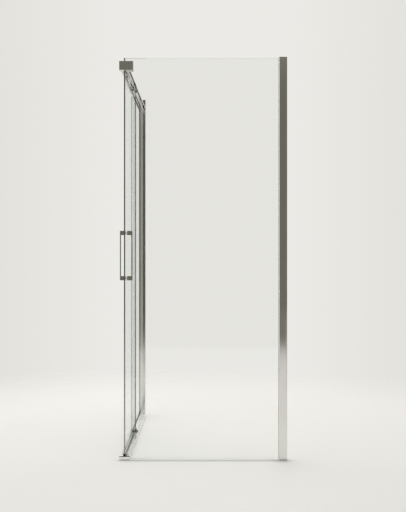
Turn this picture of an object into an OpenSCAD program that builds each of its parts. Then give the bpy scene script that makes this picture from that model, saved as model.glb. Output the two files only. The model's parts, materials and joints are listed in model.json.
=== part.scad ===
// Corner shower enclosure: a fixed side panel, a fixed front pane and a sliding door leaf
// that hangs from a low arched rail. The side panel runs along X from the open corner to
// its wall, the front runs along Y, and Z is up. Sizes below are given from the corner.

/* [Enclosure] */
// Width of the side panel, from its free edge to the side wall
side_w = 790; // [600:1:1200]
// Length of the front, from the outer face of the side glass to the end wall
front_w = 1200; // [1150:1:1500]
// Height of the wall profiles
total_h = 1950; // [1800:1:2200]

/* [Glass] */
// Thickness of all three panes
glass_t = 6; // [5:0.5:8]
// How far the side glass stops below the top of the wall profiles
side_glass_drop = 3.5; // [1:0.5:20]
// Clear gap between the fixed front pane and the door leaf
pane_gap = 5.5; // [5:0.5:12]
// Where the fixed front pane starts, measured from the corner
pane_start = 560; // [540:1:600]
// Where the door leaf ends when it is closed, measured from the corner
leaf_end = 654; // [640:1:680]
// How far a pane reaches into a wall profile
glass_grip = 13; // [8:1:14]
// Wall of a glazing gasket between glass and metal
gasket_t = 2; // [1:0.1:3]

/* [Wall profiles] */
// Depth of a glazing profile along the glass
profile_depth = 32.4; // [28:0.1:50]
// How much of the wall channel shows behind the glazing profile
adjust_gap = 7; // [3:0.5:12]
// Thickness of the side glazing profile across the glass
side_profile_w = 28; // [24:0.5:36]
// Width of the end wall's glazing profile on the inner side of its glass pocket
front_profile_inner_w = 29; // [20:0.5:40]
// Wall thickness of the extruded profiles
profile_wall = 1.8; // [1.4:0.1:2.5]
// Rounding of a glazing profile's front edges
profile_round = 4; // [0.5:0.1:4]
// Depth of the glass pocket in a glazing profile
pocket_depth = 15; // [14.5:0.5:18]
// Length of a wall channel's legs
channel_leg = 22; // [16:1:24]
// Slack between a wall channel and the profile that slides over it
channel_slack = 0.2; // [0.1:0.05:0.5]
// Height of the plastic cap on top of a profile
cap_h = 2; // [1:0.5:5]
// Radius of the holes for the wall screws
wall_hole_r = 2.75; // [2:0.25:4]
// Distance between the upper and lower wall screws
wall_hole_span = 1600; // [1200:10:1700]
// Distance between the two middle wall screws
wall_hole_mid_span = 500; // [300:10:900]
// Radius of the adjusting screws' shanks
adjust_screw_r = 2; // [1.5:0.25:2.5]
// Distance between the upper and lower adjusting screws
adjust_screw_span = 1500; // [1000:10:1700]

/* [Free edge] */
// Wall of the slim edge profile on the side glass
edge_wall = 1.5; // [1:0.1:2]
// Length of the edge profile's legs along the glass
edge_leg = 5.5; // [4:0.5:12]
// Thickness of the magnet strip on the edge profile
edge_magnet_t = 3.5; // [2:0.1:5]

/* [Corner block and rail] */
// Distance from the top of the profiles to the top of the corner block
block_drop = 20; // [5:1:60]
// Height of the corner block
block_h = 43; // [38:1:60]
// How far the block overhangs the free edge of the side glass
block_overhang = 22.8; // [18:0.1:40]
// How far the block reaches along the side glass
block_reach = 45; // [40:0.1:70]
// Thickness of the block's outer cheek
block_cheek = 8; // [6:0.5:12]
// Thickness of the block behind the side glass
block_back = 28; // [22:1:40]
// Depth of the socket in the block that takes the rail
rail_socket = 12; // [6:1:16]
// Half the width of the rail
rail_half_w = 21; // [20.5:0.1:23]
// Height of the straight part of the rail's sides
rail_side_h = 14; // [13:0.5:16]
// Wall thickness of the rail
rail_wall = 2; // [1.5:0.1:2.2]
// Thickness of the lip that the rollers run on
track_t = 3; // [2:0.1:3.5]
// Radius of the round bead on the track
bead_r = 1.2; // [0.8:0.1:1.5]
// Depth of the rail's glazing groove
rail_groove = 15; // [10:0.5:16]
// How far the rail's underside lies above the block's underside
rail_lift = 1; // [0.5:0.1:2]

/* [Sill] */
// Height of the sill
sill_h = 18.4; // [16:0.1:30]
// Reach of the sill to the outside of the free edge
sill_out = 22; // [18:0.5:30]
// Reach of the sill to the inside of the free edge
sill_in = 29; // [24:0.5:45]
// Depth of the glazing groove in the sill
sill_groove = 10; // [6:0.5:12]
// Length of the corner foot behind the side glass
foot_back = 22; // [18:1:40]
// Height of the side glass above the floor
glass_lift = 6; // [5:0.5:12]

/* [Door leaf] */
// Height of the leaf's lower edge above the sill
leaf_lift = 7.6; // [5:0.1:15]
// Gap between the leaf's upper edge and the rail
leaf_head_gap = 7; // [5:0.5:12]
// Depth that a seal grips a glass edge
seal_grip = 10; // [6:0.5:16]
// Wall of the clear seals
seal_wall = 1; // [0.6:0.1:1.5]
// Free gap of a seal or slider to what it runs against
run_gap = 0.3; // [0.2:0.05:0.6]
// Depth of the magnet bulb on the leaf's leading edge
bulb_d = 5.7; // [4:0.1:9]
// Height of the bottom seal's fin
fin_h = 5.8; // [3:0.1:8]

/* [Hangers and rollers] */
// Distance of a hanger's centre from the nearer vertical edge of the leaf
hanger_inset = 154; // [120:1:200]
// Length of a hanger
hanger_len = 120; // [90:1:160]
// Thickness of the hanger plate
hanger_t = 5; // [3:0.5:5.5]
// Thickness of a hanger's cheek on the glass
cheek_t = 2.5; // [2:0.1:3]
// Height of the cheeks
cheek_h = 20; // [16:1:40]
// Thickness of the pads between cheek and glass
pad_t = 0.5; // [0.3:0.1:1]
// Distance between the two axles of a hanger
axle_span = 84; // [50:1:96]
// Radius of a roller over its rims
roller_r = 11; // [9:0.1:11.5]
// Width of a roller
roller_w = 8; // [6:0.5:9]
// Radius of an axle
axle_r = 3; // [2:0.1:4]
// Running clearance between axle and bearing
axle_fit = 0.05; // [0.02:0.01:0.09]
// Outer radius of a ball bearing
bearing_r = 6.5; // [5.5:0.1:7]
// Width of a ball bearing
bearing_w = 5; // [3:0.5:6]
// Distance between the two clamp bolts of a hanger
clamp_bolt_span = 60; // [30:1:80]
// Radius of the clamp bolts
clamp_bolt_r = 2.5; // [2:0.25:3]

/* [Stops and guides] */
// Length of the closing stop under the rail
closing_stop_len = 96; // [40:1:120]
// Length of the opening stop under the rail
opening_stop_len = 39; // [20:1:60]
// Distance from the opening stop to the end wall's profile
opening_stop_gap = 101.6; // [60:0.1:140]
// Length of the rubber buffers on the stops
buffer_len = 9.7; // [5:0.1:15]
// Height of the stops
stop_h = 8; // [6:0.5:9]
// Width of the stops
stop_w = 9.5; // [9:0.1:12]
// Length of a catch on the rear clamp plate
catch_len = 12; // [8:1:30]
// Length of the guide at the fixed pane
guide_len = 50; // [20:1:70]
// Length of the guide at the corner
corner_guide_len = 18; // [10:1:20]
// Height of the guides' cheeks above the sill
guide_h = 13; // [12:1:40]
// Thickness of the guides' base
guide_base = 1.5; // [1:0.1:1.6]

/* [Handle] */
// Height of the handle
handle_h = 244; // [150:1:600]
// Height of the handle's centre above the floor
handle_z = 989; // [800:1:1200]
// Reach of each grip from the middle of the glass
handle_reach = 31.2; // [28:0.1:60]
// Thickness of the grip bars
bar_t = 5; // [4:0.5:12]
// Width of the grip bars and posts along the leaf
bar_w = 20; // [14:0.5:24]
// Height of the handle's posts
post_h = 21; // [16:0.5:40]
// Distance of the handle's middle from the corner
handle_y = 86; // [70:1:92]
// Radius of the rounding on the handle's edges
handle_round = 2; // [0.5:0.1:3]
// Radius of the bolts through the glass
handle_bolt_r = 3; // [2:0.25:4]

/* [Hidden] */
$fn = 48;

// Colours, as the photograph shows them
metal = [0.62, 0.61, 0.57];
metal_dark = [0.40, 0.40, 0.37];
steel = [0.75, 0.75, 0.74];
glass = [0.82, 0.90, 0.87, 0.35];
clear_seal = [0.80, 0.83, 0.80, 0.6];
dark_plastic = [0.10, 0.10, 0.10];
nylon = [0.88, 0.88, 0.85];

// Planes across the front: the leaf lies behind the free edge, the fixed pane outside it
leaf_x = edge_wall + glass_t / 2;
pane_x = leaf_x - glass_t - pane_gap;
half_glass = glass_t / 2;
pocket_half = half_glass + gasket_t;

// Side glass and its wall profile
side_mid_y = half_glass;
side_top = total_h - side_glass_drop;
side_profile_x = side_w - adjust_gap - profile_depth;
side_glass_end = side_profile_x + glass_grip;

// End wall profile of the front
front_profile_y = front_w - adjust_gap - profile_depth;
front_profile_x0 = pane_x - pocket_half - profile_wall;
front_profile_x1 = pane_x + pocket_half + profile_wall + front_profile_inner_w;
front_channel_x0 = front_profile_x0 + profile_wall + channel_slack;
front_channel_x1 = front_profile_x1 - profile_wall - channel_slack;
pane_end = front_profile_y + glass_grip;

// Corner block and rail
block_top = total_h - block_drop;
block_z = block_top - block_h;
block_y0 = -gasket_t - block_cheek;
block_y1 = glass_t + gasket_t + block_back;
rail_mid_x = leaf_x + 0.5;
rail_x1 = rail_mid_x + rail_half_w;
block_screw_x = (block_reach + rail_x1) / 2;
rail_z = block_z + rail_lift;
rail_y0 = block_y1 - rail_socket;
rail_y1 = front_profile_y;
slot_play = 0.6;
slot_half = hanger_t / 2 + slot_play;
track_x = leaf_x + slot_half;
bead_x = leaf_x + 10.5;

// Screws and small parts: radii, lengths and how deep the heads sit
set_screw_r = 2;
block_screw_r = 3;
block_screw_seat = 5;
bracket_len = 24;
bracket_screw_r = 2;
bracket_seat = 6;
stop_screw_r = 1.25;
stop_screw_seat = 3;
stop_screw_inset = 8;
catch_pin_r = 1.5;
guide_screw_r = 1.5;
guide_screw_seat = 2;
guide_screw_len = 4;
guide_flange = 8;
axle_seat_r = 2;
axle_collar = 1.2;
axle_play = 0.1;
washer_t = 1;
head_pad_t = 2;
sink_h = 2;
nut_h = 3;
lightening_r = 8;
slider_half = 18;

// Sill and corner foot
foot_y1 = glass_t + gasket_t + foot_back;
sill_y1 = front_profile_y;
pane_z0 = sill_h - sill_groove + gasket_t;
pane_z1 = rail_z + rail_groove - gasket_t;

// Door leaf
leaf_y0 = glass_t + edge_wall + edge_magnet_t + run_gap + bulb_d;
leaf_y1 = leaf_end;
leaf_z0 = sill_h + leaf_lift;
leaf_z1 = rail_z - leaf_head_gap;
seal_half = half_glass + seal_wall;
clamp_x = leaf_x + half_glass + pad_t + cheek_t;

// Hangers and rollers
hanger_y = [leaf_y0 + hanger_inset, leaf_y1 - hanger_inset];
hanger_z = leaf_z1 + head_pad_t;
cheek_z = leaf_z1 - cheek_h + 4;
clamp_bolt_z = leaf_z1 - 8;
roller_x0 = bead_x - roller_w / 2;
bead_top = rail_z + track_t + bead_r;
groove_depth = 1;
axle_z = bead_top + run_gap + roller_r - groove_depth;
axle_y = [for (h = hanger_y) for (s = [-1, 1]) h + s * axle_span / 2];
plate_top = axle_z + 10;

// Stops: the rear hanger's catches meet their buffers at the two ends of the travel
stop_x1 = rail_x1 + 2.5;
stop_x0 = stop_x1 - stop_w;
closing_stop_y1 = hanger_y[1] - hanger_len / 2 - run_gap - buffer_len;
opening_stop_y0 = front_profile_y - opening_stop_gap - opening_stop_len;

// Guides: a base on the sill with a cheek on each side of the leaf
guide_slot = seal_half + run_gap;
guide_out = leaf_x - guide_slot - (pane_x + half_glass) - 0.5;
guide_in = 6;
guide_y = pane_start + 8;
corner_guide_y = glass_t + edge_wall + edge_magnet_t + 1;

// The origin is the middle of the footprint's bounding rectangle, on the floor
box_x0 = min(leaf_x - handle_reach, -block_overhang);
box_y0 = min(block_y0, side_mid_y - side_profile_w / 2);
x_mid = (box_x0 + side_w) / 2;
y_mid = (box_y0 + front_w) / 2;

module placed() { translate([-x_mid, -y_mid, 0]) children(); }

// Extrusions: along the side panel, along the front and upright
module along_side(x0, x1) {
  translate([x0, 0, 0]) rotate([90, 0, 90]) linear_extrude(x1 - x0) children();
}
module along_front(y0, y1) {
  translate([0, y1, 0]) rotate([90, 0, 0]) linear_extrude(y1 - y0) children();
}
module upright(z0, z1) { translate([0, 0, z0]) linear_extrude(z1 - z0) children(); }
module box(a, b) { translate(a) cube(b - a); }
module area(a, b) { translate(a) square(b - a); }

// A round bar along X or Y
module bar_x(x0, x1, r) { translate([x0, 0, 0]) rotate([0, 90, 0]) cylinder(h = x1 - x0, r = r); }
module bar_y(y0, y1, r) { translate([0, y0, 0]) rotate([-90, 0, 0]) cylinder(h = y1 - y0, r = r); }

// A rectangle with round corners, drawn from true arcs
module round_area(a, b, r) {
  area([a[0] + r, a[1]], [b[0] - r, b[1]]);
  area([a[0], a[1] + r], [b[0], b[1] - r]);
  for (x = [a[0] + r, b[0] - r]) for (y = [a[1] + r, b[1] - r]) translate([x, y]) circle(r);
}

// Heights of the screws in the wall profiles
wall_hole_z = [for (s = [wall_hole_span, wall_hole_mid_span]) for (k = [-1, 1]) total_h / 2 + k * s / 2];
adjust_z = [for (k = [-1, 0, 1]) total_h / 2 + k * adjust_screw_span / 2];

// Section of a wall channel: a base on the wall and two legs, for a profile of this width
module channel_section(y0, y1) {
  area([-profile_wall, y0], [0, y1]);
  for (y = [y0, y1 - profile_wall]) area([-channel_leg, y], [0, y + profile_wall]);
}

// Section of a glazing profile: a box open to the wall, with a glass pocket in its front.
// The pocket's middle is at y = 0 and its mouth at x = 0.
module glazing_section(y0, y1) {
  difference() {
    round_area([0, y0], [profile_depth + 2 * profile_round, y1], profile_round);
    area([profile_depth, y0 - 1], [profile_depth + 2 * profile_round + 1, y1 + 1]);
    area([pocket_depth + profile_wall, y0 + profile_wall], [profile_depth + 1, y1 - profile_wall]);
    area([-1, -pocket_half], [pocket_depth, pocket_half]);
    if (-pocket_half - y0 > 2 * profile_wall + 1)
      area([profile_wall, y0 + profile_wall], [pocket_depth, -pocket_half - profile_wall]);
    if (y1 - pocket_half > 2 * profile_wall + 1)
      area([profile_wall, pocket_half + profile_wall], [pocket_depth, y1 - profile_wall]);
  }
}

// Gaskets on both faces of a pane in a pocket, each with a bead at the pocket's mouth
module pocket_gaskets(depth) {
  for (s = [-1, 1]) scale([1, s]) {
    area([0, half_glass], [depth, pocket_half]);
    intersection() {
      translate([0, pocket_half]) circle(gasket_t);
      area([-gasket_t, half_glass], [0, pocket_half + gasket_t]);
    }
  }
}

// Pan-head screw along +X: head at x < 0, shank up to the given length
module pan_screw(r, len) {
  difference() {
    union() {
      bar_x(0, len, r);
      intersection() {
        bar_x(-1.1 * r, 0, 2 * r);
        translate([1.2 * r, 0, 0]) sphere(r = 2.5 * r);
      }
    }
    for (a = [0, 90]) rotate([a, 0, 0]) box([-1.5 * r, -0.25 * r, -r], [-0.6 * r, 0.25 * r, r]);
  }
}

// Side panel
module side_glass() {
  color(glass) placed() difference() {
    box([edge_wall, 0, glass_lift], [side_glass_end, glass_t, side_top]);
    for (z = block_screw_z()) translate([block_screw_x, 0, z]) bar_y(-1, glass_t + 1, 5);
  }
}

module side_wall_channel() {
  color(metal) placed() difference() {
    upright(0, total_h - cap_h) translate([side_w, side_mid_y])
      channel_section(-side_channel_half(), side_channel_half());
    for (z = wall_hole_z) translate([side_w, side_mid_y, z]) bar_x(-5, 1, wall_hole_r);
    for (z = adjust_z) translate([side_screw_x(), side_mid_y, z]) bar_y(0, side_profile_w, adjust_screw_r);
  }
}
function side_channel_half() = side_profile_w / 2 - profile_wall - channel_slack;
function side_screw_x() = side_w - (channel_leg + adjust_gap) / 2 - 1;

module side_glass_profile() {
  color(metal) placed() difference() {
    upright(0, total_h - cap_h) translate([side_profile_x, side_mid_y])
      glazing_section(-side_profile_w / 2, side_profile_w / 2);
    for (z = adjust_z) translate([side_screw_x(), side_mid_y, z])
      bar_y(side_profile_w / 2 - 3, side_profile_w, adjust_screw_r);
  }
}

module side_gaskets() {
  color(clear_seal) placed() upright(glass_lift, side_top)
    translate([side_profile_x, side_mid_y]) pocket_gaskets(glass_grip);
}

// The caps close a glazing profile and its channel, down to the wall
module side_profile_cap() {
  color(dark_plastic) placed() upright(total_h - cap_h, total_h) difference() {
    translate([side_profile_x, side_mid_y - side_profile_w / 2])
      round_area([0, 0], [side_w - side_profile_x, side_profile_w], profile_round);
    area([0, -run_gap], [side_glass_end + run_gap, glass_t + run_gap]);
  }
}

module side_profile_screws() {
  color(steel) placed() for (z = adjust_z)
    translate([side_screw_x(), side_mid_y + side_profile_w / 2, z]) rotate([0, 0, -90])
      pan_screw(adjust_screw_r, 6);
}

// Slim U on the free edge of the side glass
module side_edge_profile() {
  color(metal_dark) placed() upright(glass_lift, side_top) difference() {
    round_area([0, -edge_wall], [edge_leg, glass_t + edge_wall], edge_wall / 2);
    area([edge_wall, 0], [edge_leg + 1, glass_t]);
  }
}

module side_edge_magnet() {
  color(dark_plastic) placed() upright(sill_h + guide_base, block_z - run_gap)
    round_area([0.5, glass_t + edge_wall], [edge_leg, glass_t + edge_wall + edge_magnet_t], 0.5);
}

// Clear seal between side glass and floor, with a dished outer face
module side_floor_seal() {
  color(clear_seal) placed() along_side(sill_in + run_gap, side_profile_x - gasket_t) difference() {
    area([-seal_wall, 0], [glass_t + seal_wall, glass_lift + 5]);
    area([0, glass_lift], [glass_t, glass_lift + 6]);
    translate([half_glass, 0]) circle(half_glass);
  }
}

// Fixed front pane
module fixed_glass() {
  color(glass) placed()
    box([pane_x - half_glass, pane_start, pane_z0], [pane_x + half_glass, pane_end, pane_z1]);
}

// The end wall's sections are drawn along X and turned to face down the front
module end_wall_section() { mirror([1, -1]) children(); }

module front_wall_channel() {
  color(metal) placed() difference() {
    upright(0, total_h - cap_h) translate([0, front_w]) end_wall_section()
      channel_section(front_channel_x0, front_channel_x1);
    for (z = wall_hole_z) translate([front_hole_x(), front_w, z]) bar_y(-5, 1, wall_hole_r);
    for (z = adjust_z) translate([0, front_screw_y(), z])
      bar_x(front_channel_x1 - 3, front_channel_x1 + 1, adjust_screw_r);
  }
}
function front_hole_x() = (front_channel_x0 + front_channel_x1) / 2;
function front_screw_y() = front_w - (channel_leg + adjust_gap) / 2 - 1;

module front_glass_profile() {
  color(metal) placed() difference() {
    upright(0, total_h - cap_h) translate([pane_x, front_profile_y]) end_wall_section()
      glazing_section(front_profile_x0 - pane_x, front_profile_x1 - pane_x);
    for (z = adjust_z) translate([0, front_screw_y(), z])
      bar_x(front_profile_x1 - 3, front_profile_x1 + 1, adjust_screw_r);
    for (p = bracket_screws()) translate([p[0], front_profile_y, p[1]]) bar_y(-1, 5, bracket_screw_r);
  }
}

module front_gaskets() {
  color(clear_seal) placed() upright(pane_z0, pane_z1)
    translate([pane_x, front_profile_y]) end_wall_section() intersection() {
      pocket_gaskets(glass_grip);
      area([0, -pocket_half], [glass_grip, pocket_half]);
    }
}

module front_profile_cap() {
  color(dark_plastic) placed() upright(total_h - cap_h, total_h)
    round_area([front_profile_x0, front_profile_y], [front_profile_x1, front_w], profile_round);
}

module front_profile_screws() {
  color(steel) placed() for (z = adjust_z)
    translate([front_profile_x1, front_screw_y(), z]) mirror([1, 0, 0]) pan_screw(adjust_screw_r, 6);
}

// Lip seal on the free edge of the fixed pane: its lip reaches for the leaf
module fixed_edge_seal() {
  color(clear_seal) placed() {
    upright(sill_h, cheek_z - 4) difference() {
      area([pane_x - seal_half, pane_start - seal_wall], [pane_x + seal_half, pane_start + seal_grip - 4]);
      area([pane_x - half_glass, pane_start], [pane_x + half_glass, pane_start + seal_grip]);
    }
    upright(leaf_z0 + seal_grip + 1, cheek_z - 4) polygon([
      [pane_x + seal_half - 0.1, pane_start - seal_wall],
      [leaf_x - half_glass - run_gap, pane_start - seal_wall - 3],
      [leaf_x - half_glass - run_gap, pane_start - seal_wall - 1.8],
      [pane_x + seal_half - 0.1, pane_start + 0.6]
    ]);
  }
}

// Rail: an arched chamber with a roller track, and a glazing groove for the fixed pane
module rail_arch(half_w, z0) {
  area([rail_mid_x - half_w, z0], [rail_mid_x + half_w, rail_side_h]);
  translate([rail_mid_x, rail_side_h]) intersection() {
    circle(r = half_w, $fn = 96);
    area([-half_w, 0], [half_w, half_w]);
  }
}
module rail_outline() { rail_arch(rail_half_w, 0); }
module rail_inside() { rail_arch(rail_half_w - rail_wall, track_t); }

module rail_section() {
  web_x = pane_x + pocket_half;
  difference() {
    rail_outline();
    area([pane_x - pocket_half, -1], [web_x, rail_groove]);
    intersection() {
      rail_inside();
      area([web_x + rail_wall, track_t], [rail_mid_x + rail_half_w, 3 * rail_half_w]);
    }
    intersection() {
      rail_inside();
      area([rail_mid_x - rail_half_w, rail_groove + rail_wall], [web_x, 3 * rail_half_w]);
    }
    area([leaf_x - slot_half, -1], [track_x, track_t + 1]);
  }
  translate([bead_x, track_t]) circle(bead_r);
}

module top_rail() {
  color(metal) placed() difference() {
    translate([0, 0, rail_z]) along_front(rail_y0, rail_y1) rail_section();
    for (y = stop_screw_y()) translate([stop_screw_x(), y, rail_z - 1])
      cylinder(h = track_t + 2, r = stop_screw_r);
    translate([set_screw_x(), rail_y0 + rail_socket / 2, rail_z - 1])
      cylinder(h = track_t + 2, r = set_screw_r);
  }
}
function set_screw_x() = track_x + 6;

module rail_gaskets() {
  color(clear_seal) placed() along_front(pane_start, rail_y1) translate([pane_x, rail_z]) {
    for (s = [-1, 1]) scale([s, 1]) area([half_glass, 0], [pocket_half, rail_groove - gasket_t]);
  }
}

// Corner block: a slot for the side glass, a socket for the rail
function block_screw_z() = [for (k = [-1, 1]) block_z + block_h / 2 + k * block_h / 4];

module rail_end_block() {
  color(metal_dark) placed() difference() {
    upright(block_z, block_top)
      round_area([-block_overhang, block_y0], [block_reach, block_y1], 1);
    box([-run_gap, -gasket_t, block_z - 1], [block_reach + 1, glass_t + gasket_t, block_top + 1]);
    translate([0, 0, rail_z]) along_front(rail_y0, block_y1 + 1) rail_outline();
    box([rail_mid_x - rail_half_w, rail_y0, block_z - 1], [rail_x1, block_y1 + 1, rail_z + 1]);
    for (z = block_screw_z()) translate([block_screw_x, 0, z]) {
      bar_y(block_y0 + 3, block_y1 + 1, block_screw_r);
      bar_y(block_y1 - block_screw_seat, block_y1 + 1, head_r(block_screw_r) + 0.7);
    }
  }
}

// Pads between the block and the side glass, pierced for the screws
module block_pads() {
  color(dark_plastic) placed() difference() {
    for (y = [-gasket_t, glass_t])
      box([edge_leg + 1.5, y, block_z + 1], [block_reach - 0.5, y + gasket_t, block_top - 1]);
    for (z = block_screw_z()) translate([block_screw_x, 0, z]) bar_y(-5, glass_t + 5, 4.5);
  }
}

// Socket-head screw along -Y: its head lies on y > 0
function head_r(r) = 1.6 * r;
module socket_screw(r, len) {
  difference() {
    union() {
      bar_y(-len, 0, r);
      bar_y(0, 1.3 * r, head_r(r));
    }
    translate([0, 0.5 * r, 0]) rotate([-90, 0, 0]) cylinder(h = r, r = 0.9 * r, $fn = 6);
  }
}

module block_screws() {
  color(steel) placed() {
    for (z = block_screw_z()) translate([block_screw_x, block_y1 - block_screw_seat, z])
      socket_screw(block_screw_r, block_y1 - block_screw_seat - block_y0 - 3.5);
    translate([set_screw_x(), rail_y0 + rail_socket / 2, rail_z]) cylinder(h = track_t, r = set_screw_r);
  }
}

// Bracket in the rail's far end, screwed to the end wall's profile
function bracket_screws() = [for (z = [9, 25]) [rail_mid_x + 8, rail_z + z]];

module rail_wall_bracket() {
  color(steel) placed() difference() {
    translate([0, 0, rail_z]) along_front(rail_y1 - bracket_len, rail_y1) intersection() {
      translate([rail_mid_x, rail_side_h]) circle(r = rail_half_w - rail_wall, $fn = 96);
      area([track_x + 0.5, track_t + bead_r + run_gap], [rail_x1 - rail_wall, 3 * rail_half_w]);
    }
    for (p = bracket_screws()) translate([p[0], 0, p[1]]) {
      bar_y(rail_y1 - bracket_len - 1, rail_y1 + 1, bracket_screw_r);
      bar_y(rail_y1 - bracket_len - 1, rail_y1 - bracket_len + bracket_seat, head_r(bracket_screw_r) + 0.8);
    }
  }
}

module rail_bracket_screws() {
  color(steel) placed() for (p = bracket_screws())
    translate([p[0], rail_y1 - bracket_len + bracket_seat, p[1]]) rotate([0, 0, 180])
      socket_screw(bracket_screw_r, bracket_len - bracket_seat + 5);
}

// Stops under the rail's inner lip
function stop_screw_x() = rail_x1 - rail_wall - 1.5;
function stop_screw_y() = concat(
  [closing_stop_y1 - closing_stop_len + stop_screw_inset, closing_stop_y1 - stop_screw_inset],
  [opening_stop_y0 + stop_screw_inset, opening_stop_y0 + opening_stop_len - stop_screw_inset]);

module stop_body(y0, y1) {
  difference() {
    union() {
      along_front(y0, y1) translate([0, rail_z - stop_h]) round_area([stop_x0, 0], [stop_x1, stop_h], 1);
      along_front(y0, y1) area([rail_x1, rail_z - 2], [stop_x1, rail_z + 4]);
    }
    for (y = stop_screw_y()) translate([stop_screw_x(), y, rail_z - stop_h - 1]) {
      cylinder(h = stop_h + 2, r = stop_screw_r);
      cylinder(h = stop_screw_seat + 1, r = head_r(stop_screw_r) + 0.4);
    }
  }
}

module closing_stop() {
  color(dark_plastic) placed() stop_body(closing_stop_y1 - closing_stop_len, closing_stop_y1);
}
module opening_stop() {
  color(dark_plastic) placed() stop_body(opening_stop_y0, opening_stop_y0 + opening_stop_len);
}

module stop_buffers() {
  color(dark_plastic) placed() translate([(stop_x0 + stop_x1) / 2, 0, rail_z - stop_h / 2]) {
    bar_y(closing_stop_y1, closing_stop_y1 + buffer_len, stop_h / 2 - 1);
    bar_y(opening_stop_y0 - buffer_len, opening_stop_y0, stop_h / 2 - 1);
  }
}

module stop_screws() {
  color(steel) placed() for (y = stop_screw_y())
    translate([stop_screw_x(), y, rail_z - stop_h + stop_screw_seat]) rotate([-90, 0, 0])
      socket_screw(stop_screw_r, stop_h - stop_screw_seat + track_t);
}

// Sill with a glazing groove, chambered like an extrusion
module sill_section() {
  w = profile_wall;
  g0 = pane_x - pocket_half;
  g1 = pane_x + pocket_half;
  difference() {
    round_area([-sill_out, -2], [sill_in, sill_h], 1.5);
    area([-sill_out - 1, -3], [sill_in + 1, 0]);
    area([g0, sill_h - sill_groove], [g1, sill_h + 1]);
    area([-sill_out + w, w], [g0 - w, sill_h - w]);
    area([g0, w], [g1, sill_h - sill_groove - w]);
    area([g1 + w, w], [(g1 + sill_in) / 2, sill_h - w]);
    area([(g1 + sill_in) / 2 + w, w], [sill_in - w, sill_h - w]);
  }
}

module sill() {
  color(metal) placed() difference() {
    along_front(foot_y1, sill_y1) sill_section();
    for (p = guide_screw_places()) translate([p[0], p[1], sill_h - 3]) cylinder(h = 4, r = guide_screw_r);
  }
}

module sill_gaskets() {
  color(clear_seal) placed() along_front(pane_start, sill_y1) translate([pane_x, sill_h]) {
    difference() {
      area([-pocket_half, -sill_groove], [pocket_half, 0]);
      area([-half_glass, -sill_groove + gasket_t], [half_glass, 1]);
    }
  }
}

// Foot at the corner: it takes the side glass, ends the sill and plugs into its chambers
module corner_foot() {
  w = profile_wall;
  g0 = pane_x - pocket_half;
  g1 = pane_x + pocket_half;
  spigot = 14;
  color(metal) placed() difference() {
    union() {
      upright(0, sill_h) round_area([-block_overhang, block_y0 + 2], [sill_in, foot_y1], 1);
      along_front(foot_y1, foot_y1 + spigot) {
        area([-sill_out + w + 0.2, w], [g0 - w - 0.2, sill_h - w - 0.2]);
        area([g1 + w + 0.2, w], [(g1 + sill_in) / 2 - 0.2, sill_h - w - 0.2]);
      }
    }
    box([-run_gap, -gasket_t, glass_lift - 2], [sill_in + 1, glass_t + gasket_t, sill_h + 1]);
    for (p = guide_screw_places()) translate([p[0], p[1], sill_h - 5]) cylinder(h = 6, r = guide_screw_r);
  }
}

// Blocks that the side glass stands on, in the foot and in the wall profile
module setting_blocks() {
  color(dark_plastic) placed() {
    box([edge_wall, 0, glass_lift - 2], [sill_in - 1, glass_t, glass_lift]);
    box([side_profile_x + 1, 0, 0], [side_glass_end, glass_t, glass_lift]);
  }
}

// Guides on the sill, open above: the leaf's lower edge runs between their cheeks
function guide_screw_places() = [
  [leaf_x + guide_slot + guide_in + 4, guide_y + guide_len / 4],
  [leaf_x + guide_slot + guide_in + 4, guide_y + guide_len * 3 / 4],
  [leaf_x + guide_slot + guide_in + 4, corner_guide_y + corner_guide_len / 2]
];

module guide_section() {
  outer = leaf_x - guide_slot - guide_out;
  inner = leaf_x + guide_slot + guide_in;
  translate([0, sill_h]) {
    area([outer, 0], [inner, guide_base]);
    area([inner - 1, 0], [min(inner + guide_flange, sill_in - 1.5), guide_base + 1.5]);
    round_area([outer, 0], [leaf_x - guide_slot, guide_h], 0.8);
    round_area([leaf_x + guide_slot, 0], [inner, guide_h], 1.2);
    area([outer, 0], [leaf_x - guide_slot, 2]);
    area([leaf_x + guide_slot, 0], [inner, 2]);
  }
}

module guide_at(y, len) {
  difference() {
    along_front(y, y + len) guide_section();
    for (p = guide_screw_places()) translate([p[0], p[1], sill_h - 1]) {
      cylinder(h = 6, r = guide_screw_r);
      translate([0, 0, guide_screw_seat + 1]) cylinder(h = 6, r = head_r(guide_screw_r) + 0.2);
    }
  }
}

module bottom_guide() { color(dark_plastic) placed() guide_at(guide_y, guide_len); }

// The corner guide reaches round the lower end of the slim edge profile
module corner_guide() {
  collar = 3;
  outer = leaf_x - guide_slot - guide_out;
  front = -edge_wall - run_gap;
  color(dark_plastic) placed() {
    guide_at(corner_guide_y, corner_guide_len);
    upright(sill_h, sill_h + guide_h) {
      area([outer, front - collar], [-run_gap, corner_guide_y + 1]);
      area([outer, front - collar], [edge_leg + 2, front]);
    }
  }
}

module guide_screws() {
  color(steel) placed() for (p = guide_screw_places())
    translate([p[0], p[1], sill_h + guide_screw_seat]) rotate([90, 0, 0])
      socket_screw(guide_screw_r, guide_screw_len);
}

// Door leaf
module door_glass() {
  color(glass) placed() difference() {
    box([leaf_x - half_glass, leaf_y0, leaf_z0], [leaf_x + half_glass, leaf_y1, leaf_z1]);
    for (y = clamp_bolt_y()) translate([leaf_x - 5, y, clamp_bolt_z]) bar_x(0, 10, clamp_bolt_r + 1);
    for (z = handle_bolt_z()) translate([leaf_x - 5, handle_y, z]) bar_x(0, 10, handle_bolt_r + 1);
  }
}
function clamp_bolt_y() = [for (h = hanger_y) for (k = [-1, 1]) h + k * clamp_bolt_span / 2];
function handle_bolt_z() = [for (k = [-1, 1]) handle_z + k * (handle_h - post_h) / 2];

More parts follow.
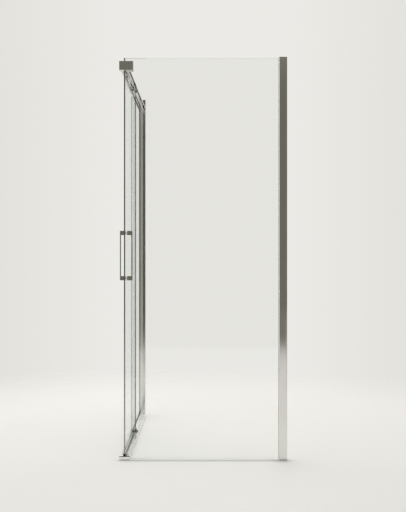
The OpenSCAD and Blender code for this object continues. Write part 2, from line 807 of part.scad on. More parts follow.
// Seal section: a U on a glass edge that lies at y = 0 and runs towards +y
module seal_u(grip) {
  difference() {
    area([-seal_half, -seal_wall], [seal_half, grip]);
    area([-half_glass, 0], [half_glass, grip + 1]);
  }
}

module door_leading_seal() {
  color(clear_seal) placed() upright(leaf_z0, leaf_z1) translate([leaf_x, leaf_y0]) {
    seal_u(seal_grip);
    round_area([-edge_leg / 2 + 0.3, -bulb_d], [edge_leg / 2 - 0.3, -seal_wall + 0.5], 1);
  }
}

module door_trailing_seal() {
  reach = pane_gap - run_gap;
  color(clear_seal) placed() upright(leaf_z0, leaf_z1 - 1) translate([leaf_x, leaf_y1]) {
    rotate(180) seal_u(seal_grip);
    polygon([
      [-half_glass + 0.5, 0.6], [-half_glass - reach, 5.4], [-half_glass - reach, 4.2],
      [-half_glass - 0.5, 0.2]
    ]);
  }
}

module door_bottom_seal() {
  color(clear_seal) placed() along_front(leaf_y0 + seal_grip + 0.5, leaf_y1 - seal_grip - 0.5)
    translate([leaf_x, leaf_z0]) {
      seal_u(seal_grip);
      polygon([[0.7, -fin_h], [1.6, -fin_h], [0.5, -seal_wall / 2], [-0.7, -seal_wall / 2]]);
    }
}

// Hanger: a plate through the rail's slot, bent out to the glass's outer face
module hanger_section() {
  t2 = hanger_t / 2;
  outer = half_glass + pad_t + cheek_t;
  area([-t2, hanger_z - rail_z], [t2, plate_top - rail_z]);
  area([-outer, hanger_z - rail_z], [half_glass + pad_t, hanger_z + cheek_t - rail_z]);
  area([-outer, cheek_z - rail_z], [-half_glass - pad_t, hanger_z + cheek_t - rail_z]);
}

module hanger(yc) {
  len2 = hanger_len / 2;
  difference() {
    translate([leaf_x, 0, rail_z]) along_front(yc - len2, yc + len2) hanger_section();
    for (k = [-1, 1]) {
      translate([leaf_x - 10, yc + k * axle_span / 2, axle_z]) bar_x(0, 20, axle_seat_r);
      translate([leaf_x - 10, yc + k * clamp_bolt_span / 2, clamp_bolt_z]) bar_x(0, 12, clamp_bolt_r);
      translate([2 * leaf_x - clamp_x, yc + k * clamp_bolt_span / 2, clamp_bolt_z]) countersink();
      translate([leaf_x - 10, yc + k * len2, plate_top]) bar_x(0, 20, len2 - axle_span / 2 - 8);
    }
    translate([leaf_x - 10, yc, (hanger_z + plate_top) / 2 + 2]) bar_x(0, 20, lightening_r);
  }
}
module front_hanger() { color(steel) placed() hanger(hanger_y[0]); }
module rear_hanger() { color(steel) placed() hanger(hanger_y[1]); }

// Clamp plate on the glass's inner face: the rear one is pierced for the catches' pins
module clamp_plate(yc) {
  x0 = clamp_x - cheek_t;
  difference() {
    box([x0, yc - hanger_len / 2, cheek_z], [clamp_x, yc + hanger_len / 2, hanger_z]);
    for (k = [-1, 1]) translate([x0 - 1, yc + k * clamp_bolt_span / 2, clamp_bolt_z])
      bar_x(0, cheek_t + 2, clamp_bolt_r);
    if (yc == hanger_y[1]) for (y = catch_y()) translate([x0 - 1, y, clamp_bolt_z])
      bar_x(0, cheek_t + 2, catch_pin_r);
  }
}
function catch_y() = [for (k = [-1, 1]) hanger_y[1] + k * (hanger_len - catch_len) / 2];

module front_clamp_plate() { color(steel) placed() clamp_plate(hanger_y[0]); }
module rear_clamp_plate() { color(steel) placed() clamp_plate(hanger_y[1]); }

// Catches at both ends of the rear clamp plate, with a pin each: they meet the buffers
module stop_catches() {
  foot_w = 3;
  color(dark_plastic) placed() for (y = catch_y()) {
    along_front(y - catch_len / 2, y + catch_len / 2) {
      area([clamp_x, clamp_bolt_z - 4], [clamp_x + foot_w, rail_z - 1]);
      area([clamp_x + foot_w - 0.1, rail_z - stop_h + 0.5], [stop_x1 - 1, rail_z - 1]);
    }
    translate([0, y, clamp_bolt_z]) bar_x(clamp_x - cheek_t, clamp_x + 1, catch_pin_r);
  }
}

module hanger_pads() {
  color(dark_plastic) placed() difference() {
    for (yc = hanger_y) {
      for (x = [leaf_x - half_glass - pad_t, leaf_x + half_glass])
        box([x, yc - hanger_len / 2 + 1, cheek_z + 1], [x + pad_t, yc + hanger_len / 2 - 1, leaf_z1]);
      box([leaf_x - half_glass - pad_t, yc - hanger_len / 2 + 1, leaf_z1],
          [leaf_x + half_glass, yc + hanger_len / 2 - 1, hanger_z]);
    }
    for (y = clamp_bolt_y()) translate([leaf_x - 8, y, clamp_bolt_z]) bar_x(0, 16, clamp_bolt_r + 0.5);
  }
}

// Clamp bolts: countersunk in the outer cheek, with a dome nut inside
module countersink() {
  rotate([0, 90, 0]) cylinder(h = sink_h, r1 = clamp_bolt_r + sink_h, r2 = clamp_bolt_r);
}

module hanger_bolts() {
  x0 = 2 * leaf_x - clamp_x;
  color(steel) placed() for (y = clamp_bolt_y()) translate([0, y, clamp_bolt_z]) difference() {
    union() {
      bar_x(x0, clamp_x + nut_h, clamp_bolt_r);
      translate([x0, 0, 0]) countersink();
    }
    translate([x0 - 1, 0, 0]) rotate([0, 90, 0]) cylinder(h = 2.2, r = 1.5, $fn = 6);
  }
}

module hanger_nuts() {
  color(steel) placed() for (y = clamp_bolt_y()) translate([clamp_x, y, clamp_bolt_z]) difference() {
    rotate([0, 90, 0]) {
      cylinder(h = nut_h, r = clamp_bolt_r + 1.9, $fn = 6);
      rotate_extrude() intersection() {
        translate([0, nut_h / 2]) circle(clamp_bolt_r + 1.1);
        area([0, nut_h - 0.5], [2 * clamp_bolt_r, 3 * nut_h]);
      }
    }
    bar_x(-1, nut_h, clamp_bolt_r);
  }
}

// Axles: riveted in the hanger plate, with a shoulder and a head that keep the bearing
module axle() {
  x0 = leaf_x - hanger_t / 2;
  face = leaf_x + hanger_t / 2;
  b0 = bead_x - bearing_w / 2;
  bar_x(x0, face, axle_seat_r);
  bar_x(face, b0 - axle_play, axle_r + axle_collar);
  bar_x(face, b0 + bearing_w + axle_play, axle_r);
  bar_x(b0 + bearing_w + axle_play, b0 + bearing_w + axle_play + 1.3, axle_r + axle_collar);
}

module roller_axles() {
  color(steel) placed() for (y = axle_y) translate([0, y, axle_z]) axle();
}

// Sliders that keep the leaf from lifting off its track
module anti_lift_sliders() {
  ceiling = rail_z + rail_side_h + rail_half_w - rail_wall;
  color(nylon) placed() for (yc = hanger_y)
    upright(plate_top, ceiling - 2 * run_gap)
      round_area([leaf_x - hanger_t / 2, yc - slider_half], [leaf_x + hanger_t / 2, yc + slider_half], 2);
}

// Roller: a grooved nylon tyre, turned about X
module roller_tyre() {
  rotate([0, 90, 0]) rotate_extrude() difference() {
    round_area([bearing_r, 0], [roller_r, roller_w], 0.8);
    translate([roller_r + 1.6 * groove_depth, roller_w / 2]) circle(2.6 * groove_depth);
    area([0, bearing_w + (roller_w - bearing_w) / 2], [bearing_r + 0.01, roller_w + 1]);
  }
}

module roller_at(i) {
  color(nylon) placed() translate([roller_x0, axle_y[i], axle_z]) roller_tyre();
}
module roller_1() { roller_at(0); }
module roller_2() { roller_at(1); }
module roller_3() { roller_at(2); }
module roller_4() { roller_at(3); }

// Ball bearing: its ring fills the tyre and its bore runs on the axle
module bearing_at(i) {
  bore = axle_r + axle_fit;
  ring_w = (bearing_r - bore) / 3;
  color(steel) placed() translate([bead_x - bearing_w / 2, axle_y[i], axle_z])
    rotate([0, 90, 0]) rotate_extrude() difference() {
      area([bore, 0], [bearing_r, bearing_w]);
      for (y = [-1, bearing_w - 0.5])
        area([bore + ring_w, y], [bearing_r - ring_w, y + 1.5]);
    }
}
module bearing_1() { bearing_at(0); }
module bearing_2() { bearing_at(1); }
module bearing_3() { bearing_at(2); }
module bearing_4() { bearing_at(3); }

// Handle: on each side a flat grip bar with two posts, bolted through the glass
module grip(sign) {
  reach = handle_reach;
  seat = half_glass + washer_t;
  z0 = handle_z - handle_h / 2;
  z1 = handle_z + handle_h / 2;
  translate([leaf_x, handle_y + bar_w / 2, 0]) scale([sign, 1, 1]) difference() {
    rotate([90, 0, 0]) linear_extrude(bar_w) difference() {
      round_area([seat, z0], [reach, z1], handle_round);
      area([seat - 1, z0 + post_h], [reach - bar_t, z1 - post_h]);
    }
    for (z = handle_bolt_z()) translate([seat - 1, -bar_w / 2, z])
      bar_x(0, reach - bar_t - seat + 1, handle_bolt_r);
  }
}
module handle_outer() { color(metal_dark) placed() grip(-1); }
module handle_inner() { color(metal_dark) placed() grip(1); }

module handle_bolts() {
  half = handle_reach - bar_t - 0.5;
  color(steel) placed() for (z = handle_bolt_z())
    translate([leaf_x - half, handle_y, z]) bar_x(0, 2 * half, handle_bolt_r);
}

module handle_washers() {
  color(clear_seal) placed() for (z = handle_bolt_z()) for (s = [-1, 1])
    translate([leaf_x + s * (half_glass + washer_t / 2) - washer_t / 2, handle_y, z]) difference() {
      bar_x(0, washer_t, bar_w / 2 - 1);
      bar_x(-1, washer_t + 1, handle_bolt_r + 0.2);
    }
}

side_glass();
side_wall_channel();
side_glass_profile();
side_gaskets();
side_profile_cap();
side_profile_screws();
side_edge_profile();
side_edge_magnet();
side_floor_seal();
fixed_glass();
front_wall_channel();
front_glass_profile();
front_gaskets();
front_profile_cap();
front_profile_screws();
fixed_edge_seal();
top_rail();
rail_gaskets();
rail_end_block();
block_pads();
block_screws();
rail_wall_bracket();
rail_bracket_screws();
closing_stop();
opening_stop();
stop_buffers();
stop_screws();
sill();
sill_gaskets();
corner_foot();
setting_blocks();
corner_guide();
bottom_guide();
guide_screws();
door_glass();
door_leading_seal();
door_trailing_seal();
door_bottom_seal();
front_hanger();
rear_hanger();
front_clamp_plate();
rear_clamp_plate();
hanger_pads();
hanger_bolts();
hanger_nuts();
roller_axles();
anti_lift_sliders();
stop_catches();
handle_outer();
handle_inner();
handle_bolts();
handle_washers();
roller_1();
roller_2();
roller_3();
roller_4();
bearing_1();
bearing_2();
bearing_3();
bearing_4();
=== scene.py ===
# Looks for a corner shower enclosure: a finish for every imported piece, and the plain pale
# studio with a dim far end that its polished metal mirrors.
import json
import math
import bpy
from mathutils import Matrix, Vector

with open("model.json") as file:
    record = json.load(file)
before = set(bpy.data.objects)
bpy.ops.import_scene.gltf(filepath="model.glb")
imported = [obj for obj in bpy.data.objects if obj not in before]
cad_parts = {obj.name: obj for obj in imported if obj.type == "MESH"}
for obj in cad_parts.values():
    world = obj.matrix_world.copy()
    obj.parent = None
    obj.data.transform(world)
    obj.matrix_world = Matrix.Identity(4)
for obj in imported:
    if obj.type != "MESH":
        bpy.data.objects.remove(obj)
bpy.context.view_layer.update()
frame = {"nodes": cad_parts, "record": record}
scene = bpy.context.scene
slot_of = {s["node"]: s["material_slot"] for s in frame["record"]["subparts"]}


# Node helpers

FINISH_EDGE = 0.0001        # half the width over which one finish turns into the next, metres
PATTERN_SPAN = (0.3, 0.7)   # the part of a noise pattern's values that is put to use


class Nodes:
    """A node tree, with the steps that the finishes and the studio's world have in common."""

    def __init__(self, tree):
        self.tree = tree

    def add(self, kind, **inputs):
        node = self.tree.nodes.new(kind)
        for name, value in inputs.items():
            node.inputs[name].default_value = value
        return node

    def link(self, source, target):
        self.tree.links.new(source, target)

    def feed(self, value, socket):
        """Links an output to a socket, or sets a colour or a number on it."""
        if isinstance(value, bpy.types.NodeSocket):
            self.link(value, socket)
        elif isinstance(value, tuple):
            socket.default_value = (*value, 1)
        else:
            socket.default_value = value

    def remap(self, value, source=(0.0, 1.0), result=(0.0, 1.0), shape="LINEAR"):
        """Carries a value from the source range to the result range, and holds it at the ends."""
        node = self.add("ShaderNodeMapRange", **{
            "From Min": source[0], "From Max": source[1],
            "To Min": result[0], "To Max": result[1]})
        node.interpolation_type = shape
        self.link(value, node.inputs["Value"])
        return node.outputs["Result"]

    def ease(self, value, low, high):
        """0 up to low, 1 from high on, with a smooth change between them."""
        return self.remap(value, (low, high), shape="SMOOTHSTEP")

    def maths(self, kind, one, other):
        node = self.add("ShaderNodeMath")
        node.operation = kind
        for value, socket in zip((one, other), node.inputs):
            self.feed(value, socket)
        return node.outputs[0]

    def both(self, one, other):
        """1 where both masks hold."""
        return self.maths("MULTIPLY", one, other)

    def either(self, one, other):
        """1 where at least one of two masks holds."""
        return self.maths("MAXIMUM", one, other)

    def mix(self, fac, plain, masked):
        """The plain colour, and the masked one where the mask holds."""
        node = self.add("ShaderNodeMix")
        node.data_type = "RGBA"
        self.link(fac, node.inputs["Factor"])
        self.feed(plain, node.inputs[6])
        self.feed(masked, node.inputs[7])
        return node.outputs[2]


class Finish(Nodes):
    """A material for one of the enclosure's finishes, with its Principled shader at hand."""

    def __init__(self, name, colour, rough, metal=0.0, shine=0.5):
        self.material = bpy.data.materials.new(name)
        self.material.use_nodes = True
        super().__init__(self.material.node_tree)
        self.shader = self.tree.nodes["Principled BSDF"]
        self.out = self.tree.nodes["Material Output"]
        self.shader.inputs["Base Color"].default_value = (*colour, 1)
        self.shader.inputs["Roughness"].default_value = rough
        self.shader.inputs["Metallic"].default_value = metal
        self.shader.inputs["Specular IOR Level"].default_value = shine

    def grain(self, scale, stretch=(1, 1, 1), detail=3.0):
        """Noise on the object's own coordinates, stretched along an extrusion where asked."""
        place = self.add("ShaderNodeTexCoord")
        turn = self.add("ShaderNodeMapping", Scale=stretch)
        noise = self.add("ShaderNodeTexNoise", Scale=scale, Detail=detail)
        self.link(place.outputs["Object"], turn.inputs["Vector"])
        self.link(turn.outputs["Vector"], noise.inputs["Vector"])
        return noise.outputs["Fac"]

    def lines(self, scale, along, stretch, detail):
        """Fine lines that run along one axis."""
        return self.grain(scale, tuple(stretch if axis == along else 1 for axis in "XYZ"), detail)

    def roughen(self, pattern, rough, low, high):
        """Varies the roughness with a pattern, from low to high times its middle value."""
        varied = self.remap(pattern, PATTERN_SPAN, (rough * low, rough * high))
        self.link(varied, self.shader.inputs["Roughness"])

    def tint(self, pattern, dark, light):
        """Varies the base colour with a pattern."""
        ramp = self.add("ShaderNodeValToRGB")
        for stop, position, colour in zip(ramp.color_ramp.elements, PATTERN_SPAN, (dark, light)):
            stop.position = position
            stop.color = (*colour, 1)
        self.link(pattern, ramp.inputs["Fac"])
        self.link(ramp.outputs["Color"], self.shader.inputs["Base Color"])

    def relief(self, pattern, depth, strength):
        bump = self.add("ShaderNodeBump", Strength=strength, Distance=depth)
        self.link(pattern, bump.inputs["Height"])
        self.link(bump.outputs["Normal"], self.shader.inputs["Normal"])

    def beyond(self, axis, limit, soft=FINISH_EDGE):
        """1 where the object's own coordinate passes the limit, else 0."""
        place = self.add("ShaderNodeTexCoord")
        axes = self.add("ShaderNodeSeparateXYZ")
        self.link(place.outputs["Object"], axes.inputs[0])
        return self.remap(axes.outputs[axis], (limit - soft, limit + soft))

    def below(self, axis, limit):
        """1 where the object's own coordinate is under the limit, else 0."""
        return self.beyond(axis, limit, -FINISH_EDGE)

    def within(self, axis, low, high):
        """1 where the object's own coordinate lies from low to high, else 0."""
        return self.maths("SUBTRACT", self.beyond(axis, low), self.beyond(axis, high))

    def blend(self, mask, plain, masked, target="Base Color"):
        """On one of the shader's sockets, a colour or a number that changes under the mask."""
        if isinstance(plain, tuple):
            changed = self.mix(mask, plain, masked)
        else:
            changed = self.remap(mask, result=(plain, masked))
        self.link(changed, self.shader.inputs[target])

    def overlay(self, mask, colour):
        """One more colour over the base colour, where the mask holds."""
        base = self.shader.inputs["Base Color"]
        self.link(self.mix(mask, base.links[0].from_socket, colour), base)

    def see_through(self, colour, share):
        """Lets part of the light straight through, tinted: by a share or by a node's output."""
        clear = self.add("ShaderNodeBsdfTransparent", Color=(*colour, 1))
        mix = self.add("ShaderNodeMixShader")
        self.feed(share, mix.inputs[0])
        self.link(self.out.inputs["Surface"].links[0].from_socket, mix.inputs[1])
        self.link(clear.outputs[0], mix.inputs[2])
        self.link(mix.outputs[0], self.out.inputs["Surface"])

    def drawn(self, rough, along):
        """An extrusion's faint drawing lines along one axis and its cloudy polish."""
        lines = self.lines(900, along, stretch=0.004, detail=2.0)
        self.roughen(self.grain(7, detail=2.0), rough, 0.8, 1.3)
        self.relief(lines, depth=0.00002, strength=0.15)
        return lines

    def peeled(self, rough):
        """The slightest orange peel of a plating, and its uneven polish."""
        self.roughen(self.grain(30), rough, 0.8, 1.4)
        self.relief(self.grain(160, detail=1.0), depth=0.00003, strength=0.1)

    def eroded(self, rough, scale=900):
        """The fine spark-eroded texture of a mould."""
        fine = self.grain(scale)
        self.roughen(fine, rough, 0.85, 1.15)
        self.relief(fine, depth=0.00006, strength=0.3)

    def hazed(self, rough):
        """The slight haze and waviness of soft vinyl."""
        self.roughen(self.grain(120), rough, 0.7, 1.3)
        self.relief(self.grain(300), depth=0.0001, strength=0.2)


# Finishes. Places are in metres along the object's own axes.

SILVER = (0.80, 0.79, 0.76)
UPRIGHT_SILVER = (0.88, 0.87, 0.84)
PLATED_SILVER = (0.78, 0.77, 0.74)
BLACK = (0.015, 0.015, 0.015)
LIP_BLACK = (0.006, 0.006, 0.006)
# Painted shade, on the rail's inner lower edge and in a line on the foot's face
PAINTED_SHADE_DARK = (0.09, 0.09, 0.08)
LIGHT_GREY = (0.50, 0.50, 0.48)
PALE_GREY = (0.82, 0.82, 0.79)
COAT = ((0.84, 0.84, 0.81), (0.88, 0.88, 0.85))
NYLON = ((0.72, 0.72, 0.69), (0.78, 0.78, 0.75))
PARTED_ROUGH, LINED_ROUGH = 0.4, 0.3    # plastic of two colours, and lined vinyl
GLASS_GREEN = (0.62, 0.86, 0.76)
# What is left of light that goes straight through: a pane, its rim and the rim at the corner,
# which are darker as painted shade, a pane on the way to a lamp, and lined vinyl
PANE_TINT = (0.962, 0.972, 0.966)
RIM_SHADE_TINT = (0.93, 0.94, 0.935)
CORNER_RIM_SHADE_TINT = (0.86, 0.87, 0.865)
LAMP_TINT = (0.955, 0.965, 0.96)
VINYL_TINT = (0.95, 0.96, 0.95)
CLEAR_SHARE = 0.92          # how much light lined vinyl lets straight through beside its line


def scaled(colour, factor):
    return tuple(factor * c for c in colour)


def extrusion(name, colour, rough, along):
    """Polished aluminium with the faint drawing lines of its extrusion."""
    f = Finish(name, colour, rough, metal=1.0)
    f.tint(f.drawn(rough, along), scaled(colour, 0.97), scaled(colour, 1.02))
    return f.material


def plated(name, colour, rough):
    """Cast or milled metal with a bright plating."""
    f = Finish(name, colour, rough, metal=1.0)
    f.peeled(rough)
    return f.material


def brushed(name, colour, rough, along):
    """Metal brushed or turned along one axis."""
    f = Finish(name, colour, rough, metal=1.0)
    lines = f.lines(2500, along, stretch=0.02, detail=3.0)
    f.roughen(lines, rough, 0.75, 1.35)
    f.tint(lines, scaled(colour, 0.88), colour)
    f.relief(lines, depth=0.00003, strength=0.25)
    return f.material


def moulded(name, dark, light, rough, scale=900, shine=0.5):
    """Moulded plastic or rubber, a little uneven in colour."""
    f = Finish(name, dark, rough, shine=shine)
    f.tint(f.grain(60), dark, light)
    f.eroded(rough, scale)
    return f.material


def parted(name, first, second, *limits):
    """Moulded plastic that takes its second colour beyond any of the limits, as ("X", place)."""
    f = Finish(name, first, PARTED_ROUGH, shine=0.04)
    part = f.beyond(*limits[0])
    for limit in limits[1:]:
        part = f.either(part, f.beyond(*limit))
    f.blend(part, first, second)
    f.eroded(PARTED_ROUGH)
    return f.material


def rail_finish(name, colour, rough, lip_x, lip_z, black_y):
    """The rail's extrusion finish, with painted shade along its inner lower edge, dark and matt:
    beyond lip_x and under lip_z, and black between the two places black_y."""
    f = Finish(name, colour, rough, metal=1.0)
    f.drawn(rough, "Y")
    # Painted shade: the rail's inner lower edge turns dark, matt and without metal, and black
    # between black_y.
    lip = f.both(f.beyond("X", lip_x), f.below("Z", lip_z))
    f.blend(lip, colour, PAINTED_SHADE_DARK)
    f.overlay(f.both(lip, f.within("Y", *black_y)), LIP_BLACK)
    f.blend(lip, 1.0, 0.0, "Metallic")
    f.blend(lip, 0.5, 0.0, "Specular IOR Level")
    return f.material


def end_profile_finish(name, colour, rough, edge_x, band_x, face_y):
    """The end wall profile's finish. Its narrow face, under face_y, looks down the front. It has
    painted highlights, made by less metal: an edge below edge_x and a band between the two places
    band_x. Beyond them lies a painted darker reflection that fades out downwards, as the photo
    shows it."""
    f = Finish(name, colour, rough, metal=1.0)
    f.drawn(rough, "Z")
    face = f.below("Y", face_y)
    # Painted highlight: less metal on the face's edge and band makes them look brighter.
    bright = f.both(f.either(f.within("X", *band_x), f.below("X", edge_x)), face)
    # Painted darker reflection beyond the band, fading out downwards.
    painted_dark_reflection = f.both(f.both(f.beyond("X", band_x[1]), face), f.beyond("Z", 0.5, soft=0.12))
    f.blend(painted_dark_reflection, colour, scaled(colour, 0.55))
    f.blend(bright, 1.0, 0.72, "Metallic")
    return f.material


def sill_finish(name, colour, rough, middle_y, half_width):
    """The sill's extrusion finish, with painted light: less metallic and so paler towards the end
    wall. The change is at middle_y.
    """
    f = Finish(name, colour, rough, metal=1.0)
    f.tint(f.drawn(rough, "Y"), scaled(colour, 0.97), scaled(colour, 1.02))
    # Painted light: the half towards the end wall has less metal, to look paler.
    f.blend(f.beyond("Y", middle_y, half_width), 0.95, 0.25, "Metallic")
    return f.material


def foot_finish(name, colour, rough, line_z, face_y):
    """The foot's plating, with a line of painted shade above line_z on its face, which is under
    face_y.
    Only the face mirrors like bare metal: the other faces have less metal, which paints them
    lighter."""
    f = Finish(name, colour, rough, metal=1.0)
    f.peeled(rough)
    # Painted light: the face is bare metal and the other faces are less metallic, so that they
    # look lighter.
    f.blend(f.below("Y", face_y), 0.3, 1.0, "Metallic")
    # Painted shade: a dark line along the top of the face.
    f.blend(f.both(f.beyond("Z", line_z), f.below("Y", face_y)), colour, PAINTED_SHADE_DARK)
    return f.material


def float_glass(name, density, through=0.0, clear=PANE_TINT, rim=None):
    """Float glass: a clear slab whose green shows along its edges. Lamps shine through it, and
    a pane that is seen along its plane lets more straight through, to mirror less. A rim as
    (height, place along X) gets painted shade on its upper edge, more strongly up to that place."""
    f = Finish(name, (1, 1, 1), 0.0)
    f.shader.inputs["Transmission Weight"].default_value = 1.0
    f.shader.inputs["IOR"].default_value = 1.46
    if through:
        f.see_through(clear, through)
    if rim:
        # Painted shade on the pane's upper rim, deeper towards the corner.
        edge = f.beyond("Z", rim[0])
        f.see_through(RIM_SHADE_TINT, edge)
        f.see_through(CORNER_RIM_SHADE_TINT, f.both(edge, f.below("X", rim[1])))
    path = f.add("ShaderNodeLightPath")
    f.see_through(LAMP_TINT, path.outputs["Is Shadow Ray"])
    body = f.add("ShaderNodeVolumeAbsorption", Color=(*GLASS_GREEN, 1), Density=density)
    f.link(body.outputs[0], f.out.inputs["Volume"])
    return f.material


def clear_vinyl(name, colour, rough, through):
    """Clear soft vinyl, a little hazy: a share of the light goes straight through."""
    f = Finish(name, colour, rough, shine=0.25)
    f.shader.inputs["Transmission Weight"].default_value = 0.4
    f.hazed(rough)
    f.see_through(tuple(0.985 + 0.015 * c for c in colour), through)
    return f.material


def lined_vinyl(name, colour, axis, line, side, side_x):
    """Clear vinyl with a smoked line between two places along one axis, where it is cut or
    folded. The line keeps to one side of side_x: side is Finish.beyond or Finish.below."""
    f = Finish(name, colour, LINED_ROUGH, shine=0.2)
    f.hazed(LINED_ROUGH)
    smoked = f.both(f.within(axis, *line), side(f, "X", side_x))
    f.see_through(VINYL_TINT, f.remap(smoked, result=(CLEAR_SHARE, 0.0)))
    return f.material


finishes = {
    "side_pane": float_glass("clear_float_glass", density=3.0, rim=(1.942, -0.275)),
    "door_pane": float_glass("door_float_glass", density=0.6, through=0.82),
    "fixed_pane": float_glass(
        "fixed_float_glass", density=0.6, through=0.94, clear=(0.985, 0.99, 0.987)),
    "wall_channel": extrusion("bright_channel_aluminium", UPRIGHT_SILVER, 0.12, "Z"),
    "side_profile": extrusion("polished_upright_aluminium", UPRIGHT_SILVER, 0.08, "Z"),
    "front_profile": end_profile_finish(
        "polished_end_aluminium", UPRIGHT_SILVER, 0.10,
        edge_x=-0.3920, band_x=(-0.3822, -0.3692), face_y=0.569),
    "edge_profile": extrusion("dark_edge_aluminium", (0.32, 0.315, 0.295), 0.12, "Z"),
    "edge_magnet": moulded("magnet_strip_plastic", (0.03, 0.03, 0.03), (0.05, 0.05, 0.05), 0.5),
    "gasket": clear_vinyl("clear_glazing_vinyl", (0.74, 0.76, 0.74), 0.4, through=0.6),
    "clear_seal": clear_vinyl("clear_seal_vinyl", (0.90, 0.92, 0.90), 0.3, through=0.985),
    "edge_seal": lined_vinyl("grey_edge_vinyl", (0.16, 0.17, 0.16),
                             "Y", (-0.0365, -0.0325), Finish.below, -0.3893),
    "lip_seal": lined_vinyl("smoked_lip_vinyl", (0.04, 0.045, 0.04),
                            "Y", (0.0592, 0.07), Finish.beyond, -0.3783),
    "sweep_seal": lined_vinyl("smoked_sweep_vinyl", (0.07, 0.075, 0.07),
                              "Z", (0.0, 0.0275), Finish.beyond, -0.3775),
    "rail": rail_finish("polished_rail_aluminium", SILVER, 0.16,
                        lip_x=-0.3592, lip_z=1.895, black_y=(0.160, 0.277)),
    "corner_block": plated("plated_block", PLATED_SILVER, 0.10),
    "pad": moulded("rubber_pad", (0.02, 0.02, 0.02), (0.03, 0.03, 0.03), 0.7, scale=500),
    "bracket": brushed("cast_bracket", (0.55, 0.55, 0.53), 0.4, "X"),
    "cap": moulded("grey_cap_plastic", (0.20, 0.20, 0.19), (0.24, 0.24, 0.23), 0.45),
    "screw": brushed("screw_steel", (0.62, 0.61, 0.58), 0.25, "Z"),
    "sill": sill_finish("satin_sill_aluminium", (0.80, 0.80, 0.78), 0.26,
                        middle_y=0.0, half_width=0.12),
    "foot": foot_finish("satin_foot", (0.97, 0.97, 0.94), 0.06, line_z=0.0146, face_y=-0.6012),
    "guide": moulded("black_guide_plastic", BLACK, (0.022, 0.022, 0.022), 0.5, shine=0.15),
    "hanger": moulded("silver_hanger_coat", *COAT, 0.35),
    "clamp": moulded("silver_clamp_coat", *COAT, 0.35),
    "bolt": brushed("bolt_steel", (0.66, 0.65, 0.62), 0.22, "X"),
    "slider": moulded("white_slider_nylon", *NYLON, 0.4),
    "handle": plated("plated_handle", PLATED_SILVER, 0.08),
    "washer": clear_vinyl("clear_washer_vinyl", (0.84, 0.86, 0.85), 0.25, through=0.3),
    "roller": moulded("white_roller_nylon", *NYLON, 0.35),
    "bearing": plated("bearing_steel", (0.70, 0.70, 0.68), 0.15),
}

# Pieces whose finish differs from that of the others in their slot, or has two colours
own_finish = {
    "sill_gaskets": clear_vinyl("clear_sill_vinyl", (0.80, 0.82, 0.80), 0.4, through=0.92),
    "hanger_pads": clear_vinyl("clear_pad_vinyl", (0.80, 0.82, 0.80), 0.4, through=0.8),
    "stop_catches": parted("catch_plastic", BLACK, LIGHT_GREY, ("X", -0.3682), ("Y", -0.09)),
    "corner_guide": parted(
        "corner_guide_plastic", BLACK, LIGHT_GREY, ("X", -0.3740), ("Z", 0.0285)),
    "closing_stop": parted("closing_stop_plastic", PALE_GREY, BLACK, ("X", -0.3594)),
    "opening_stop": parted("opening_stop_plastic", LIGHT_GREY, BLACK, ("X", -0.3605)),
    "stop_buffers": parted("stop_buffers_plastic", LIGHT_GREY, BLACK, ("X", -0.3605)),
}

for node, piece in frame["nodes"].items():
    piece.data.materials.clear()
    piece.data.materials.append(own_finish.get(node) or finishes[slot_of[node]])


# Studio

FLOOR_TONE = (0.765, 0.757, 0.74)
FLOOR_RADIUS = 9
FLOOR_Z = -0.0005               # just under the foot and the sill
FLOOR_FADE = (1.3, 3.2)         # the floor fades into the backdrop between these distances
CONTACT_SHADE = 0.055           # reach of the shade on the floor where the enclosure stands
FRONT_FACE_Y = -0.597           # the shade is deep before the side panel and slight behind it
SLIGHT_SHADE, DEEP_SHADE = 0.96, 0.45

BACKDROP_MIDDLE = (0.832, 0.823, 0.79)
BACKDROP_SIDE = (0.772, 0.76, 0.72)
ROOM = (0.80, 0.79, 0.77)
DIM_LOW = (0.155, 0.147, 0.118)     # the dim end of the room, up to the height of DIM_STEP
DIM_HIGH = (0.195, 0.19, 0.162)     # and above it
GROUND_NEAR = (0.80, 0.79, 0.76)
GROUND_FAR = (0.62, 0.61, 0.58)

# Where the world changes, in parts of a direction of length 1: up, aside or along the view
ROOM_FOOT = (-0.111, -0.101)        # up, where the ground ends and the room starts
DIM_STEP = (0.194, 0.211)           # up
GROUND_FADE = (-0.3, 0.0)           # up
BACKDROP_FADE = (0.08, 0.24)        # aside, to the left and the right
DIM_SECTOR = (0.7, 0.93)            # along, back towards the camera

LAMP_PLACE, LAMP_TARGET = (-0.6, 1.3, 4.2), (-0.3, 0.9, 0)
LAMP_SIZE, LAMP_POWER = (4.0, 4.0), 100
LAMP_COLOUR = (1.0, 0.99, 0.975)
CAMERA_PLACE = (0.0014, -4.8295, 0.987)
CAMERA_LENS = 61.45


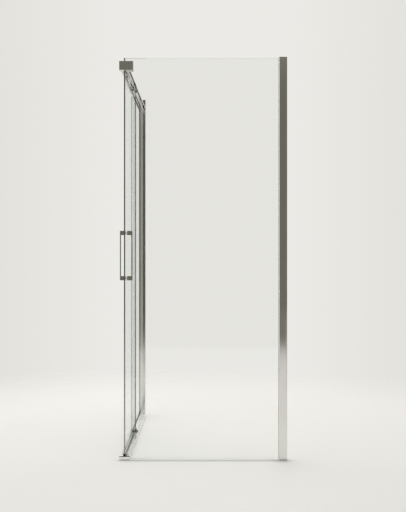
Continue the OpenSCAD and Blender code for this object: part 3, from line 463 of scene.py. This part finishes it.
def lay_floor():
    """A round pale floor that fades out at its rim into the backdrop's tone. Its colour carries a
    painted contact shadow, from ambient occlusion, where the enclosure stands.
    """
    bpy.ops.object.select_all(action="DESELECT")
    bpy.ops.mesh.primitive_circle_add(
        vertices=96, radius=FLOOR_RADIUS, fill_type="NGON", location=(0, 0, FLOOR_Z))
    floor = bpy.context.active_object
    floor.name = "studio_floor"
    bpy.ops.object.transform_apply(location=True, rotation=True, scale=True)
    f = Finish("pale_floor", FLOOR_TONE, 0.55, shine=0.3)
    place = f.add("ShaderNodeTexCoord")
    far = f.add("ShaderNodeVectorMath")
    far.operation = "LENGTH"
    f.link(place.outputs["Object"], far.inputs[0])
    # Painted contact shadow: the floor's colour darkens by ambient occlusion, deep in front of
    # the side panel and slight behind it.
    contact = f.add("ShaderNodeAmbientOcclusion", Distance=CONTACT_SHADE)
    contact.samples = 8
    depth = f.remap(f.below("Y", FRONT_FACE_Y), result=(SLIGHT_SHADE, DEEP_SHADE))
    shade = f.remap(contact.outputs["AO"], (0.5, 1.0))
    f.link(depth, shade.node.inputs["To Min"])
    f.blend(shade, (0.0, 0.0, 0.0), FLOOR_TONE)
    f.see_through((1, 1, 1), f.ease(far.outputs["Value"], *FLOOR_FADE))
    floor.data.materials.append(f.material)


def light_world():
    """Pale all round, but dim behind the camera, where the studio is unlit down to its floor."""
    world = bpy.data.worlds.new("studio")
    scene.world = world
    world.use_nodes = True
    world.node_tree.nodes.clear()
    w = Nodes(world.node_tree)
    where = w.add("ShaderNodeTexCoord")
    axes = w.add("ShaderNodeSeparateXYZ")
    w.link(where.outputs["Generated"], axes.inputs[0])
    up, along = axes.outputs["Z"], axes.outputs["Y"]

    # The backdrop as the camera sees it, a little duller towards the sides
    aside = w.maths("ABSOLUTE", axes.outputs["X"], 0)
    backdrop = w.mix(w.ease(aside, *BACKDROP_FADE), BACKDROP_MIDDLE, BACKDROP_SIDE)

    # The room and the ground as metal and glass mirror them
    above_foot = w.ease(up, *ROOM_FOOT)
    back = w.ease(w.maths("MULTIPLY", along, -1), *DIM_SECTOR)
    dim_end = w.mix(w.ease(up, *DIM_STEP), DIM_LOW, DIM_HIGH)
    room = w.mix(w.both(back, above_foot), ROOM, dim_end)
    ground = w.mix(w.ease(up, *GROUND_FADE), GROUND_NEAR, GROUND_FAR)
    mirrored = w.mix(above_foot, ground, room)

    # The camera, and what it sees through glass, gets the backdrop
    path = w.add("ShaderNodeLightPath")
    through = w.both(path.outputs["Is Transmission Ray"], w.ease(along, -0.02, 0.02))
    seen = w.either(path.outputs["Is Camera Ray"], through)
    light = w.add("ShaderNodeBackground", Strength=1.0)
    w.link(w.mix(seen, mirrored, backdrop), light.inputs["Color"])
    out = w.add("ShaderNodeOutputWorld")
    w.link(light.outputs[0], out.inputs["Surface"])


def hang_softbox():
    """One wide soft lamp, above the enclosure and a little behind it."""
    bpy.ops.object.light_add(type="AREA", location=LAMP_PLACE)
    lamp = bpy.context.active_object
    lamp.name = "top_softbox"
    lamp.data.shape = "RECTANGLE"
    lamp.data.size, lamp.data.size_y = LAMP_SIZE
    lamp.data.energy = LAMP_POWER
    lamp.data.color = LAMP_COLOUR
    aim = Vector(LAMP_TARGET) - Vector(LAMP_PLACE)
    lamp.rotation_euler = aim.to_track_quat("-Z", "Y").to_euler()


def set_camera():
    """Level, square on to the side panel, with the picture's middle as its vanishing point."""
    bpy.ops.object.camera_add(location=CAMERA_PLACE, rotation=(math.radians(90), 0, 0))
    camera = bpy.context.active_object
    camera.name = "photo_camera"
    camera.data.sensor_width = 36
    camera.data.lens = CAMERA_LENS
    camera.data.clip_end = 60
    scene.camera = camera


lay_floor()
light_world()
hang_softbox()
set_camera()
scene.view_settings.view_transform = "Standard"
